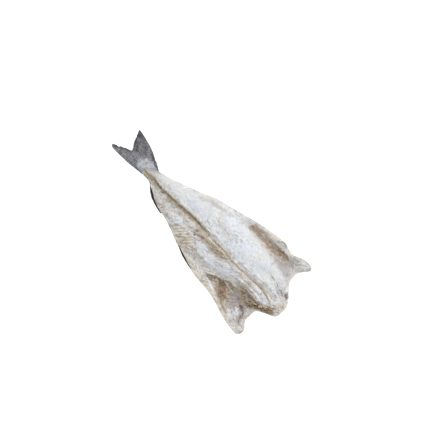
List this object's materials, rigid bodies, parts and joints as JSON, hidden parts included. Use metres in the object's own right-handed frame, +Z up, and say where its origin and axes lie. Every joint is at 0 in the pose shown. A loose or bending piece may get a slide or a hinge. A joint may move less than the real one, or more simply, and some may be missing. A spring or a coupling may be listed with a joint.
{
  "type": "salted dried cod",
  "caption": "Whole headless cod, split down the belly, opened flat, salted and dried, with its forked tail fin, lying flesh side up.",
  "frame": {"origin": "centre of the footprint on the surface that the fish rests on", "axes": "+X from the tail fin to the nape, along the fish; +Y across it, to the right belly flap; +Z up, out of the flesh side"},
  "size_m": [0.633, 0.2694, 0.031],
  "materials": {
    "cod_flesh": "dry matte fibrous flesh with a faint salt bloom",
    "belly_lining": "thin wrinkled brown lining, slightly waxy",
    "cod_skin": "dry mottled grey skin with fine scales",
    "tail_fin": "dry translucent membrane over fin rays",
    "salt": "loose cloudy crystals"
  },
  "bodies": {
    "root": {"salted_cod": "cod_flesh"}
  },
  "joints": []
}
